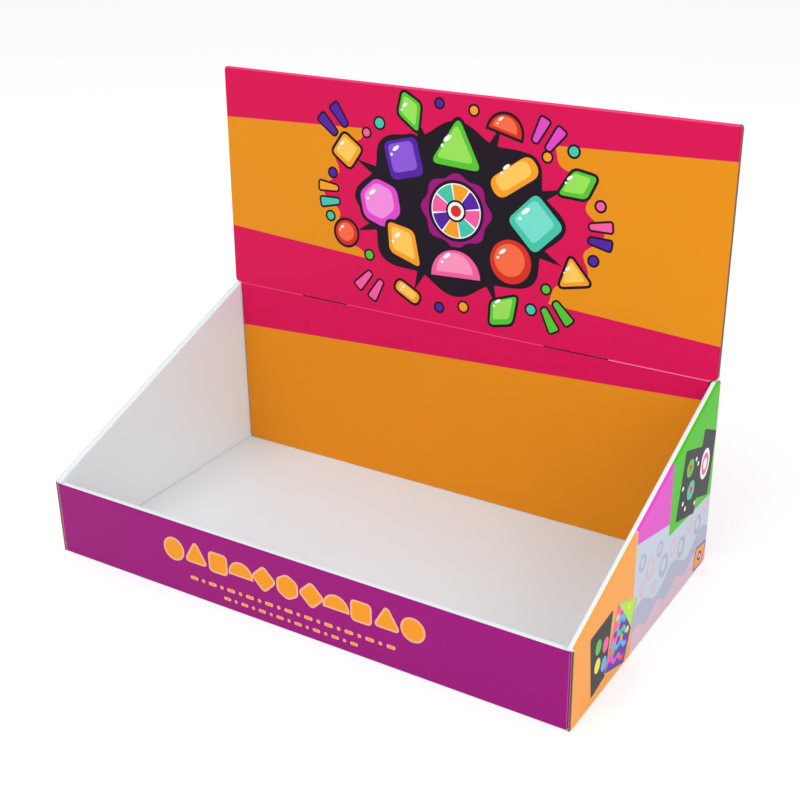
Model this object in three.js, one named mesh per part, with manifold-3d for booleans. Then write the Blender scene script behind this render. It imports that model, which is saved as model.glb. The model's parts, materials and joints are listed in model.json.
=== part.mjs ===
// Counter display box of printed corrugated board.
// A folded tray with rolled-over walls, an inner back liner and a double header on a scored crease.
// Millimetres, +Z up, +Y towards the back, origin at the middle of the footprint on the counter.

import * as THREE from 'three';
import { mergeVertices } from 'three/addons/utils/BufferGeometryUtils.js';
import Module from 'manifold-3d';

const wasm = await Module();
wasm.setup();

// Driving dimensions
const trayWidth = 400;
const trayDepth = 219;
const frontHeight = 55;
const sideFrontHeight = 57;
const sideBackHeight = 138.2;
const backSpace = 5.5;
const board = 1.5;
const foldRadius = 1.2;

// Header and crease
const headerHeight = 169.5;
const headerInset = 0.6;
const headerLean = 1.1;
const headerLayerGap = 0.3;
const headerCorner = 2.5;
const creaseGap = 0.3;
const creaseLift = 0.3;
const shoulderGap = 0.8;
const slitHeight = 0.3;
const leftSlit = { centre: -114, length: 42 };
const rightSlit = { centre: 97, length: 50 };

// Clearances between layers and at the joints of the sheet
const flapPlay = 0.15;
const layerPlay = 0.3;
const linerSideGap = 0.8;
const tabPlay = 0.3;

// Corner flaps, lock tabs and the relief at the liner's lower corners
const frontFlapLength = 60;
const backFlapLength = 55;
const flapTopCut = 2;
const tabLength = 40;
const frontTabSpacing = 200;
const sideTabSpacing = 110;
const linerTabSpacing = 220;
const tabTaper = 3;
const linerRelief = 3;

const arcSteps = 4;

// Sizes worked out from the ones above
const wall = 3 * board + 2 * flapPlay;
const halfWidth = trayWidth / 2;
const halfDepth = trayDepth / 2;
const innerHalf = halfWidth - wall;
const panelHalf = halfWidth - board - flapPlay;
const linerFront = halfDepth - backSpace;
const slopeRun = trayDepth - backSpace;
const slopeAngle = Math.atan2(sideBackHeight - sideFrontHeight, slopeRun);
const creaseHeight = sideBackHeight + creaseLift;
const headerThick = 2 * board + headerLayerGap;
const layerFloor = board + layerPlay;
const bandDrop = board / Math.cos(slopeAngle);

// Solids

function toSolid(geometry) {
  const bare = geometry.clone();
  bare.deleteAttribute('normal');
  bare.deleteAttribute('uv');
  const merged = mergeVertices(bare, 1e-4);
  return new wasm.Manifold(new wasm.Mesh({
    numProp: 3,
    vertProperties: new Float32Array(merged.attributes.position.array),
    triVerts: new Uint32Array(merged.index.array),
  }));
}

function toGeometry(solid) {
  const mesh = solid.getMesh();
  const geometry = new THREE.BufferGeometry();
  geometry.setAttribute('position', new THREE.BufferAttribute(new Float32Array(mesh.vertProperties), 3));
  geometry.setIndex(new THREE.BufferAttribute(new Uint32Array(mesh.triVerts), 1));
  const flat = geometry.toNonIndexed();
  flat.computeVertexNormals();
  return flat;
}

function outline(points) {
  return new THREE.Shape(points.map(([a, b]) => new THREE.Vector2(a, b)));
}

// A shape drawn in (y, z), carried along X
function alongX(shape, from, to) {
  const geometry = new THREE.ExtrudeGeometry(shape, {
    depth: to - from, bevelEnabled: false, curveSegments: arcSteps,
  });
  const basis = new THREE.Matrix4().makeBasis(
    new THREE.Vector3(0, 1, 0), new THREE.Vector3(0, 0, 1), new THREE.Vector3(1, 0, 0));
  geometry.applyMatrix4(basis.setPosition(from, 0, 0));
  return toSolid(geometry);
}

// A shape drawn in (x, z), carried along Y
function alongY(shape, from, to) {
  const geometry = new THREE.ExtrudeGeometry(shape, {
    depth: to - from, bevelEnabled: false, curveSegments: arcSteps,
  });
  const basis = new THREE.Matrix4().makeBasis(
    new THREE.Vector3(1, 0, 0), new THREE.Vector3(0, 0, 1), new THREE.Vector3(0, -1, 0));
  geometry.applyMatrix4(basis.setPosition(0, to, 0));
  return toSolid(geometry);
}

// A shape drawn in (x, y), carried up Z
function alongZ(shape, from, to) {
  const geometry = new THREE.ExtrudeGeometry(shape, {
    depth: to - from, bevelEnabled: false, curveSegments: arcSteps,
  });
  geometry.translate(0, 0, from);
  return toSolid(geometry);
}

function block(low, high) {
  const geometry = new THREE.BoxGeometry(high[0] - low[0], high[1] - low[1], high[2] - low[2]);
  geometry.translate((low[0] + high[0]) / 2, (low[1] + high[1]) / 2, (low[2] + high[2]) / 2);
  return toSolid(geometry);
}

function joined(solids) {
  return solids.reduce((sum, solid) => sum.add(solid));
}

// A rectangle whose four corners have radii of their own: [low left, low right, high right, high left]
function roundedRect(lowA, lowB, highA, highB, radii) {
  const shape = new THREE.Shape();
  const [lowLeft, lowRight, highRight, highLeft] = radii;
  shape.moveTo(lowA + lowLeft, lowB);
  shape.lineTo(highA - lowRight, lowB);
  if (lowRight > 0) shape.absarc(highA - lowRight, lowB + lowRight, lowRight, -Math.PI / 2, 0);
  shape.lineTo(highA, highB - highRight);
  if (highRight > 0) shape.absarc(highA - highRight, highB - highRight, highRight, 0, Math.PI / 2);
  shape.lineTo(lowA + highLeft, highB);
  if (highLeft > 0) shape.absarc(lowA + highLeft, highB - highLeft, highLeft, Math.PI / 2, Math.PI);
  shape.lineTo(lowA, lowB + lowLeft);
  if (lowLeft > 0) shape.absarc(lowA + lowLeft, lowB + lowLeft, lowLeft, Math.PI, 1.5 * Math.PI);
  return shape;
}

// The section of a rolled-over wall: two legs of board joined by a fold, open at the bottom.
// It spans a wall's thickness from 0, with its top at 0 and its legs reaching down.
function rollOver(thickness, legs, radius) {
  const shape = new THREE.Shape();
  shape.moveTo(0, -legs);
  shape.lineTo(board, -legs);
  shape.lineTo(board, -board);
  shape.lineTo(thickness - board, -board);
  shape.lineTo(thickness - board, -legs);
  shape.lineTo(thickness, -legs);
  shape.lineTo(thickness, -radius);
  shape.absarc(thickness - radius, -radius, radius, 0, Math.PI / 2);
  shape.lineTo(radius, 0);
  shape.absarc(radius, -radius, radius, Math.PI / 2, Math.PI);
  return shape;
}

// Height of the sloped top of a side wall above the counter
function slopeTop(y) {
  return sideFrontHeight + (y + halfDepth) * Math.tan(slopeAngle);
}

// Lock tabs below a panel that runs along X or Y, and the floor slots that take them

function tabShape() {
  const low = -layerFloor + layerPlay;
  return outline([
    [-tabLength / 2, 0], [-tabLength / 2 + tabTaper, low], [tabLength / 2 - tabTaper, low], [tabLength / 2, 0],
  ].reverse());
}

function tabPair(spacing, place) {
  return [-spacing / 2, spacing / 2].map(place);
}

// Each lock tab is given by its middle, the axis it runs along, and the face where its board starts
const lockTabs = [
  ...tabPair(frontTabSpacing, (x) => ({ along: 'x', x, y: -halfDepth + wall - board })),
  ...tabPair(sideTabSpacing, (y) => ({ along: 'y', x: innerHalf, y })),
  ...tabPair(sideTabSpacing, (y) => ({ along: 'y', x: -innerHalf - board, y })),
];
const linerTabs = tabPair(linerTabSpacing, (x) => ({ along: 'x', x, y: linerFront }));

function tabSolid({ along, x, y }) {
  if (along === 'x') {
    return alongY(tabShape(), y, y + board).translate([x, 0, layerFloor]);
  }
  return alongX(tabShape(), x, x + board).translate([0, y, layerFloor]);
}

function slotSolid({ along, x, y }) {
  const reach = tabLength / 2 + tabPlay;
  if (along === 'x') {
    return block([x - reach, y - tabPlay, -board], [x + reach, y + board + tabPlay, 2 * board]);
  }
  return block([x - tabPlay, y - reach, -board], [x + board + tabPlay, y + reach, 2 * board]);
}

// Tray sheet

function floorPanel() {
  const sheet = block([-halfWidth, -halfDepth, 0], [halfWidth, halfDepth, board]);
  return sheet.subtract(joined([...lockTabs, ...linerTabs].map(slotSolid)));
}

// The front panel folds over at its top and comes down inside, and its ends turn into corner flaps
function frontWall() {
  const section = rollOver(wall, frontHeight - layerFloor, foldRadius);
  const inner = alongX(section, -(innerHalf - flapPlay), innerHalf - flapPlay)
    .translate([0, -halfDepth, frontHeight]);
  const outer = alongX(roundedRect(0, 0, board, frontHeight, [0, 0, 0, foldRadius]), -panelHalf, panelHalf)
    .translate([0, -halfDepth, 0]);
  const radii = [foldRadius, foldRadius, 0, 0];
  const plan = alongZ(roundedRect(-panelHalf, -halfDepth, panelHalf, halfDepth, radii), 0, frontHeight);
  return inner.add(outer).intersect(plan);
}

// A pair of corner flaps: the ends of the front or back panel turned into the side walls
function cornerFlaps(side, length, top) {
  const near = side * halfDepth;
  const far = side * (halfDepth - length);
  const radii = side < 0 ? [foldRadius, foldRadius, 0, 0] : [0, 0, foldRadius, foldRadius];
  const low = Math.min(near, far);
  const high = Math.max(near, far);
  const ring = alongZ(roundedRect(-panelHalf, low, panelHalf, high, radii), 0, top);
  const inside = block(
    [-panelHalf + board, side < 0 ? low + board : low - board, -board],
    [panelHalf - board, side < 0 ? high + board : high - board, top + board]);
  return ring.subtract(inside);
}

function backWall() {
  const low = sideBackHeight - board - layerPlay;
  const reach = innerHalf - flapPlay;
  const panel = alongY(outline([
    [-panelHalf, 0], [panelHalf, 0], [panelHalf, low], [reach, low], [reach, sideBackHeight],
    [-reach, sideBackHeight], [-reach, low], [-panelHalf, low],
  ]), halfDepth - board, halfDepth);
  const radii = [0, 0, foldRadius, foldRadius];
  const plan = alongZ(roundedRect(-panelHalf, -halfDepth, panelHalf, halfDepth, radii), 0, sideBackHeight);
  return panel.intersect(plan);
}

// One side wall, drawn at +X: outer layer, fold along the sloped top and its short flat, inner layer
function sideWall() {
  const front = -halfDepth + layerPlay;
  const back = halfDepth - layerPlay;
  const legs = sideBackHeight * 2;
  const section = rollOver(wall, legs, foldRadius);

  const slopeSweep = new THREE.ExtrudeGeometry(section, {
    depth: 2 * trayDepth, bevelEnabled: false, curveSegments: arcSteps,
  });
  const up = new THREE.Vector3(0, -Math.sin(slopeAngle), Math.cos(slopeAngle));
  const forward = new THREE.Vector3(0, -Math.cos(slopeAngle), -Math.sin(slopeAngle));
  const basis = new THREE.Matrix4().makeBasis(new THREE.Vector3(1, 0, 0), up, forward);
  slopeSweep.applyMatrix4(basis.setPosition(innerHalf, halfDepth, slopeTop(halfDepth)));
  const sloped = toSolid(slopeSweep)
    .intersect(block([0, front, 0], [halfWidth, linerFront, 2 * sideBackHeight]));

  const flat = alongY(section, linerFront, back)
    .translate([innerHalf, 0, sideBackHeight])
    .intersect(block([0, linerFront, 0], [halfWidth, back, sideBackHeight]));

  const innerLayer = block([0, -halfDepth, -board], [innerHalf + board + flapPlay / 2, halfDepth, layerFloor]);
  const ends = joined([
    block([0, -halfDepth, -board], [halfWidth - board - flapPlay / 2, -halfDepth + board + layerPlay,
      slopeTop(-halfDepth) - bandDrop]),
    block([0, halfDepth - board - layerPlay, -board], [halfWidth - board - flapPlay / 2, halfDepth,
      sideBackHeight - board]),
  ]);
  return sloped.add(flat).subtract(innerLayer).subtract(ends);
}

function traySheet() {
  const side = sideWall();
  const flapTop = slopeTop(-halfDepth) - bandDrop - flapTopCut;
  const backFlapTop = slopeTop(halfDepth - backFlapLength) - bandDrop - flapTopCut;
  const sheet = joined([
    floorPanel(), frontWall(), backWall(), side, side.mirror([1, 0, 0]),
    cornerFlaps(-1, frontFlapLength, flapTop), cornerFlaps(1, backFlapLength, backFlapTop),
    ...lockTabs.map(tabSolid),
  ]);
  const tall = 2 * sideBackHeight;
  const lowRadii = [foldRadius, foldRadius, 0, 0];
  const roundAlongX = alongX(roundedRect(-halfDepth, 0, halfDepth, tall, lowRadii), -trayWidth, trayWidth);
  const roundAlongY = alongY(roundedRect(-halfWidth, 0, halfWidth, tall, lowRadii), -trayDepth, trayDepth);
  return sheet.intersect(roundAlongX).intersect(roundAlongY);
}

// Header card

function slitCuts(from, to) {
  return [leftSlit, rightSlit].map(({ centre, length }) => block(
    [centre - length / 2, -trayDepth, from], [centre + length / 2, trayDepth, to]));
}

// The inner back panel, from the crease down to the floor, with relieved lower corners
function linerPanel() {
  const reach = innerHalf - linerSideGap;
  const top = creaseHeight - creaseGap;
  const panel = alongY(outline([
    [-reach, layerFloor + linerRelief], [-reach + linerRelief, layerFloor], [reach - linerRelief, layerFloor],
    [reach, layerFloor + linerRelief], [reach, top], [-reach, top],
  ]), linerFront, linerFront + board);
  return joined([panel, ...linerTabs.map(tabSolid)])
    .subtract(joined(slitCuts(top - slitHeight, top + slitHeight)));
}

// The header about its crease: local Y runs through its thickness and local Z up its face
function headerFold() {
  const half = halfWidth - headerInset;
  const section = rollOver(headerThick, headerHeight, board);
  const sheet = alongX(section, -half, half).translate([0, 0, headerHeight]);
  const face = alongY(roundedRect(-half, 0, half, headerHeight,
    [headerCorner, headerCorner, headerCorner, headerCorner]), -board, headerThick + board);
  const shoulders = [-1, 1].map((side) => block(
    [side < 0 ? -halfWidth : innerHalf - linerSideGap, -board, -board],
    [side < 0 ? -innerHalf + linerSideGap : halfWidth, headerThick + board, shoulderGap]));
  const rounded = sheet.intersect(face.add(block([-innerHalf, -board, 0], [innerHalf, headerThick + board,
    headerHeight / 2])));
  return rounded.subtract(joined([...shoulders, ...slitCuts(-slitHeight, slitHeight)]));
}

// Named meshes and their materials

function mesh(name, solid, material) {
  const part = new THREE.Mesh(toGeometry(solid), material);
  part.name = name;
  return part;
}

function printed(color) {
  return new THREE.MeshStandardMaterial({ color, roughness: 0.42, metalness: 0 });
}

const display = new THREE.Group();
display.add(mesh('tray', traySheet(), printed(0x9b207c)));
display.add(mesh('header_liner', linerPanel(), printed(0xd98a22)));

const headerHinge = new THREE.Group();
headerHinge.position.set(0, linerFront, creaseHeight);
headerHinge.rotation.x = -THREE.MathUtils.degToRad(headerLean);
headerHinge.add(mesh('header_panel', headerFold(), printed(0xd41a56)));
display.add(headerHinge);

export default display;
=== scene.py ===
import json
import math

import bmesh
import bpy
import numpy as np
from mathutils import Matrix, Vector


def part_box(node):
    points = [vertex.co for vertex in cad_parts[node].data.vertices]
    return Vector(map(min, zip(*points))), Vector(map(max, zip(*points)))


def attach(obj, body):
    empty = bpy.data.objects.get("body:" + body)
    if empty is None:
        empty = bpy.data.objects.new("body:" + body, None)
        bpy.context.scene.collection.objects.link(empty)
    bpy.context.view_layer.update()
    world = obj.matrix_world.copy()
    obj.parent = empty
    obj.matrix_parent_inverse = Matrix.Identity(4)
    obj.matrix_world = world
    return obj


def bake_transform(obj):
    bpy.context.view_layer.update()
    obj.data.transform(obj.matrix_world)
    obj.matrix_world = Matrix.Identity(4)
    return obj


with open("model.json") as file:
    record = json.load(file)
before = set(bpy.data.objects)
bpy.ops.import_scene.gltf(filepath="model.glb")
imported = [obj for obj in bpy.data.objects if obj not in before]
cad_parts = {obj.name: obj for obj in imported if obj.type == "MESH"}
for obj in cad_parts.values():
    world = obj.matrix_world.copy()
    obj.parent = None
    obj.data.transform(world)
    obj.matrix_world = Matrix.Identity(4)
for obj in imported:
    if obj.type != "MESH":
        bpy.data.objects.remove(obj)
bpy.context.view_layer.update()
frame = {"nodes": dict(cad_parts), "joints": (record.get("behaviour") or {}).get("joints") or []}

# Sizes of the box in millimetres, taken from the frame where it has them

MM = 0.001


def node_box(name):
    """The low and the high corner of a CAD node, in millimetres."""
    return [np.array(corner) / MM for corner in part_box(name)]


TRAY_LOW, TRAY_HIGH = node_box("tray")
LINER_HALF, LINER_TOP = node_box("header_liner")[1][[0, 2]]
HEADER_HALF = node_box("header_panel")[1][0]
HINGE = np.array(frame["joints"][0]["pos_m"]) / MM
WIDTH, DEPTH, SIDE_TOP = TRAY_HIGH - TRAY_LOW
LINER_FACE = HINGE[1]
BOARD = 1.5
FOLD = 1.2
WALL = 4.8
CORNER_PLAY = 0.15
LAYER_PLAY = 0.3
FRONT_TOP = 55.0
SIDE_FRONT_TOP = 57.0
SLOPE = math.atan2(SIDE_TOP - SIDE_FRONT_TOP, LINER_FACE - TRAY_LOW[1])
PANEL_HALF = WIDTH / 2 - BOARD - CORNER_PLAY
BACK_TOP_HALF = WIDTH / 2 - WALL - CORNER_PLAY
HEADER_LEAN = math.radians(1.1)
HEADER_TALL = 169.5
HEADER_THICK = 3.3
HEADER_CORNER = 2.5
SHOULDER_GAP = 0.8

# The slits in the crease, as spans from left to right, and their height on either side of it
SLITS = ((-135.0, -93.0), (72.0, 122.0))
SLIT_HEIGHT = 0.3

# Print: a film on the board, whose foot and rims keep an inset, and layers of ink one step apart on it
FILM = 0.08
INK_STEP = 0.015
INSET = 0.02

# How far the film turns into a fold, and over the top of each side wall: an angle, then a length beyond it
FOLD_TURN = 60.0
FOLD_STEPS = 6
SIDE_TURNS = {1: (90.0, 0.3), -1: (60.0, 0.02)}

# Slanted edges between the fields of colour: a height at each end, the first at the left or the front
HEADER_BAND_FOOT = (46.8, 25.1)
HEADER_BAND_TOP = (132.0, 146.9)
LINER_BAND_TOP = (102.9, 123.9)
MAGENTA_FOOT = (80.5, 67.5)
GREEN_FOOT = (58.3, 54.0)

# Where the fields on a side wall end, from its front, and the pale line between two of them
SIDE_ORANGE_END = 86.0
SIDE_MAGENTA_END = 141.5
PALE_LINE = 1.0

# Crease: how far its film reaches either way, the height and half width of its ridge, how far it stays from
# the liner's ends, how far the film and the painted highlight line on it stand off, and half that line's
# width
CREASE_REACH = 3.0
CREASE_RIDGE = 0.3
CREASE_SWELL = 0.5
CREASE_END = 0.3
CREASE_FILM = 0.09
SCORE_FILM = 0.11
SCORE_REACH = 0.32

# Cut edges: how thick the facing papers are, the flutes' pitch, paper and points, how far the film that
# carries them stands off, how far it turns round the header's corners, and where it starts on a side wall
PAPER = 0.26
FLUTE_PITCH = 3.3
FLUTE_PAPER = 0.2
FLUTE_STEPS = 12
EDGE_FILM = 0.05
EDGE_TURN = 80.0
EDGE_FOOT = 0.5

# Painted highlight beside the front's side folds, and the patch of painted shade at the floor's corners: its
# foot, and how far it stays from the box's ends at its foot and its top
FOLD_HIGHLIGHT_WIDTH = 0.45
FOLD_HIGHLIGHT_SHIFT = 0.25
PATCH_FOOT = 0.35
PATCH_ENDS = (0.45, 0.3)

# The liner: how much of its foot corners is cut off, and the painted shadow sliver at its right end
LINER_CUT = 3.0
SHADOW_SLIVER_WIDTH = 1.0
SHADOW_SLIVER_TALL = 28.0
SHADOW_SLIVER_PLAY = 0.05


# Finishes


def linear(rgb):
    """A screen colour from 0 to 255 as the linear values of a shader: a straight foot, then a power."""
    c = np.array(rgb, float) / 255
    return tuple(np.where(c <= 0.04045, c / 12.92, ((c + 0.055) / 1.055) ** 2.4)) + (1.0,)


def shaded(colour, factor):
    """A linear colour made darker or lighter by a factor."""
    return tuple(min(1.0, c * factor) for c in colour[:3]) + (1.0,)


class Nodes:
    """A short way to place and link the shader nodes of a material or of the world."""

    def __init__(self, owner, output):
        owner.use_nodes = True
        self.tree = owner.node_tree
        self.tree.nodes.clear()
        self.output = self.tree.nodes.new(output)

    def feed(self, socket, value):
        """Link a socket to another one, or set it to a plain value."""
        if isinstance(value, bpy.types.NodeSocket):
            self.tree.links.new(value, socket)
        else:
            socket.default_value = value

    def add(self, kind, **inputs):
        """A node of a kind, with its inputs by name."""
        node = self.tree.nodes.new(kind)
        for name, value in inputs.items():
            self.feed(node.inputs[name.replace("_", " ")], value)
        return node

    def math(self, operation, a, b=0.0):
        """The result of a sum on one or two values."""
        node = self.tree.nodes.new("ShaderNodeMath")
        node.operation = operation
        self.feed(node.inputs[0], a)
        self.feed(node.inputs[1], b)
        return node.outputs[0]

    def mix(self, factor, a, b):
        """A colour between two others."""
        node = self.tree.nodes.new("ShaderNodeMix")
        node.data_type = "RGBA"
        for index, value in ((0, factor), (6, a), (7, b)):
            self.feed(node.inputs[index], value)
        return node.outputs[2]

    def join(self, kind, first, second, *factor):
        """Two shaders added, or mixed by a factor."""
        node = self.tree.nodes.new(kind)
        for socket, value in zip(node.inputs, (*factor, first, second)):
            self.feed(socket, value)
        return node.outputs[0]

    def finish(self, shader):
        """Link the last shader to the output."""
        self.tree.links.new(shader, self.output.inputs["Surface"])


# Noise: clouds in the coat, fibres under it, and the coarser fibres of raw paper
CLOUDS = {"Scale": 9.0, "Detail": 4.0, "Roughness": 0.55}
FIBRES = {"Scale": 900.0, "Detail": 3.0, "Roughness": 0.6}
RAW_FIBRES = {"Scale": 1600.0, "Detail": 4.0, "Roughness": 0.7}

# How much of the tone is clouds, and how far the clouds swing the gloss
CLOUD_SHARE = 0.75
GLOSS_SWING = 0.12

# Heights in metres that the ripples and the fibres add to a face
RIPPLE = 0.000008
GRAIN = 0.00002
RAW_GRAIN = 0.00006


def washboard(nodes, place, across):
    """Height of the shallow ripples that the flutes press into the face: a sine across the flutes."""
    axis = nodes.add("ShaderNodeSeparateXYZ", Vector=place).outputs[across]
    return nodes.math("SINE", nodes.math("MULTIPLY", axis, 2 * math.pi / (FLUTE_PITCH * MM)))


def board_finish(name, rgb, across="X", roughness=0.4, mottle=0.05, shine=0.16):
    """Coated board or film over ink: a cloudy tone, a fine grain and the ripples of the flutes."""
    material = bpy.data.materials.new(name)
    nodes = Nodes(material, "ShaderNodeOutputMaterial")
    place = nodes.add("ShaderNodeTexCoord").outputs["Object"]
    clouds = nodes.add("ShaderNodeTexNoise", Vector=place, **CLOUDS).outputs["Fac"]
    fibres = nodes.add("ShaderNodeTexNoise", Vector=place, **FIBRES).outputs["Fac"]
    tone = nodes.math("ADD", nodes.math("MULTIPLY", clouds, CLOUD_SHARE),
                      nodes.math("MULTIPLY", fibres, 1 - CLOUD_SHARE))
    colour = linear(rgb)
    base = nodes.mix(tone, shaded(colour, 1 - mottle), shaded(colour, 1 + mottle))
    gloss = nodes.math("ADD", nodes.math("MULTIPLY", clouds, GLOSS_SWING), roughness - GLOSS_SWING / 2)
    height = nodes.math("ADD", nodes.math("MULTIPLY", washboard(nodes, place, across), RIPPLE),
                        nodes.math("MULTIPLY", fibres, GRAIN))
    bump = nodes.add("ShaderNodeBump", Height=height, Strength=1.0, Distance=1.0)
    shader = nodes.add("ShaderNodeBsdfPrincipled", Base_Color=base, Roughness=gloss,
                       Specular_IOR_Level=shine, Normal=bump.outputs["Normal"])
    nodes.finish(shader.outputs["BSDF"])
    return material


def raw_finish(name, rgb):
    """Raw paper at a cut edge, and the painted shade in slits, gaps and hollows: short fibres and a matt
    face.
    """
    material = bpy.data.materials.new(name)
    nodes = Nodes(material, "ShaderNodeOutputMaterial")
    place = nodes.add("ShaderNodeTexCoord").outputs["Object"]
    fibres = nodes.add("ShaderNodeTexNoise", Vector=place, **RAW_FIBRES).outputs["Fac"]
    colour = linear(rgb)
    base = nodes.mix(fibres, shaded(colour, 0.8), shaded(colour, 1.15))
    bump = nodes.add("ShaderNodeBump", Height=nodes.math("MULTIPLY", fibres, RAW_GRAIN), Strength=1.0,
                     Distance=1.0)
    shader = nodes.add("ShaderNodeBsdfPrincipled", Base_Color=base, Roughness=0.85,
                       Normal=bump.outputs["Normal"])
    nodes.finish(shader.outputs["BSDF"])
    return material


# Inks on faces whose flutes follow one another from left to right, as colours from 0 to 255
FACE_INKS = {
    "purple": (156, 6, 122), "pink": (216, 4, 82), "orange": (230, 144, 16),
    "liner_orange": (231, 140, 18), "liner_pink": (216, 4, 82),
    "navy": (20, 6, 24), "white": (250, 248, 248), "mint": (70, 196, 170), "leaf": (84, 196, 48),
    "violet": (84, 30, 160), "red": (214, 46, 30), "amber": (248, 158, 34), "rose": (246, 92, 160),
    "sky": (92, 176, 232), "sun": (250, 224, 84), "peach": (248, 186, 150), "lime": (176, 232, 60),
    "magenta": (224, 72, 198),
}

# Paler inks for the raised middle of a shape
LIGHT_INKS = {
    "violet_light": (140, 88, 214), "leaf_light": (152, 224, 88), "mint_light": (118, 222, 204),
    "rose_light": (255, 148, 190), "amber_light": (255, 200, 92), "red_light": (246, 108, 66),
    "magenta_light": (240, 142, 222),
}

# Inks on the side walls, whose flutes follow one another upwards
SIDE_INKS = {
    "side_orange": (247, 162, 66), "side_green": (72, 190, 8), "side_magenta": (224, 72, 198),
    "side_mist": (196, 204, 220), "side_mist_deep": (176, 178, 200), "side_mist_rose": (218, 184, 198),
    "tile_dark": (26, 26, 34),
}

# Painted highlights, lighter than the ink beside them, on the folds and along the crease: the colour, the way
# the flutes follow one another there, and the shine
HIGHLIGHT_INKS = {
    "crease": ((240, 62, 124), "X", 0.3), "crease_highlight_bright": ((255, 132, 176), "X", 0.3),
    "fold_pink_highlight": ((240, 36, 112), "X", 0.4), "fold_purple_highlight": ((182, 74, 164), "Z", 0.4),
}

# Raw paper at a cut edge, and painted shade: dark in the slits and in the gap at the liner's right end, and
# in the hollow between a cut edge's two faces
RAW_PAPERS_AND_SHADES = {
    "painted_gap_shade": (30, 6, 14), "cut_edge_paper": (186, 132, 98), "painted_edge_shade": (62, 34, 26),
}

MATERIALS = {name: board_finish("ink_" + name, rgb) for name, rgb in (FACE_INKS | LIGHT_INKS).items()}
MATERIALS |= {name: board_finish("ink_" + name, rgb, "Z") for name, rgb in SIDE_INKS.items()}
MATERIALS |= {name: board_finish("ink_" + name, rgb, across, shine=shine)
              for name, (rgb, across, shine) in HIGHLIGHT_INKS.items()}
MATERIALS |= {name: raw_finish(name, rgb) for name, rgb in RAW_PAPERS_AND_SHADES.items()}
MATERIALS["white_board"] = board_finish("white_board", (229, 240, 245), roughness=0.36, mottle=0.02)


# Outlines: closed rows of points in a panel's own millimetres, to the right and up


def turned(points, degrees):
    """Points turned about their origin."""
    c, s = math.cos(math.radians(degrees)), math.sin(math.radians(degrees))
    return np.asarray(points, float) @ np.array([[c, s], [-s, c]])


def placed(points, x, y, turn=0.0, scale=1.0):
    """Points scaled, turned and moved to (x, y)."""
    return turned(np.asarray(points, float) * scale, turn) + np.array([x, y])


def disc(radius, squash=1.0, steps=48):
    """A circle, or an ellipse whose height is squash times its width."""
    t = np.arange(steps) * 2 * math.pi / steps
    return np.stack([radius * np.cos(t), radius * squash * np.sin(t)], axis=1)


def sector(radius, start, end):
    """A slice of a disc between two angles: an arc, then the middle."""
    t = np.radians(np.linspace(start, end, 20))
    arc = radius * np.stack([np.cos(t), np.sin(t)], axis=1)
    return np.concatenate([arc, np.zeros((1, 2))])


def regular(sides, radius):
    """Corners of a regular polygon, the first at its top."""
    t = math.pi / 2 + np.arange(sides) * 2 * math.pi / sides
    return radius * np.stack([np.cos(t), np.sin(t)], axis=1)


def span(left, foot, right, top):
    """A rectangle between two corners."""
    return np.array([[left, foot], [right, foot], [right, top], [left, top]])


def rectangle(width, height):
    """A rectangle about its middle."""
    return span(-width / 2, -height / 2, width / 2, height / 2)


def unit(vectors):
    """Each vector at length 1, with a guard for those of no length."""
    return vectors / np.maximum(np.linalg.norm(vectors, axis=1), 1e-9)[:, None]


def eased(corners, radius, steps=6):
    """Each corner becomes a short curve: a quadratic from one edge to the next, radius from the corner."""
    corners = np.asarray(corners, float)
    before = np.roll(corners, 1, axis=0) - corners
    after = np.roll(corners, -1, axis=0) - corners
    reach_before = np.minimum(radius, np.linalg.norm(before, axis=1) / 2)[:, None]
    reach_after = np.minimum(radius, np.linalg.norm(after, axis=1) / 2)[:, None]
    start = corners + unit(before) * reach_before
    end = corners + unit(after) * reach_after
    t = np.linspace(0, 1, steps)[None, :, None]
    curve = (1 - t) ** 2 * start[:, None] + 2 * t * (1 - t) * corners[:, None] + t ** 2 * end[:, None]
    return curve.reshape(-1, 2)


def lobed(width, height, lobes, depth, steps=168):
    """An ellipse whose radius swells and shrinks by a cosine, lobes times round."""
    t = np.arange(steps) * 2 * math.pi / steps
    swell = 1 + depth * np.cos(lobes * t)
    return np.stack([width / 2 * swell * np.cos(t), height / 2 * swell * np.sin(t)], axis=1)


def squiggle(length, swing, waves, thick, steps=60):
    """A band of even thickness along a sine wave, with its two edges joined at the ends."""
    t = np.linspace(0, 1, steps)
    turns = 2 * math.pi * waves
    slope = swing * turns / length * np.cos(turns * t)
    normal = np.stack([-slope, np.ones(steps)], axis=1) / np.sqrt(1 + slope ** 2)[:, None]
    middle = np.stack([(t - 0.5) * length, swing * np.sin(turns * t)], axis=1)
    return np.concatenate([middle + normal * thick / 2, (middle - normal * thick / 2)[::-1]])


def grown(points, reach):
    """An outline moved outwards by reach along its own normals, for a border of even width."""
    before = unit(points - np.roll(points, 1, axis=0))
    after = unit(np.roll(points, -1, axis=0) - points)
    ahead = np.roll(points, -1, axis=0)
    area = np.sum(points[:, 0] * ahead[:, 1] - points[:, 1] * ahead[:, 0])
    bisector = unit(before + after)
    normal = bisector[:, ::-1] * np.array([1, -1]) * np.sign(area)
    lean = np.clip(np.sum(bisector * after, axis=1), 0.5, 1.0)[:, None]
    return points + normal * reach / lean


# Panels and pieces


class Panel:
    """A flat face of the box: an origin, a direction to the right, one up, and the normal outwards."""

    def __init__(self, origin, right, up):
        self.origin = np.array(origin, float)
        self.right = np.array(right, float)
        self.up = np.array(up, float)
        self.normal = np.cross(self.right, self.up)

    def points(self, flat, out):
        """Flat points as places in space: so far to the right, so far up, and out from the face."""
        flat = np.asarray(flat, float)
        return self.origin + flat[..., :1] * self.right + flat[..., 1:2] * self.up + out * self.normal


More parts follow.
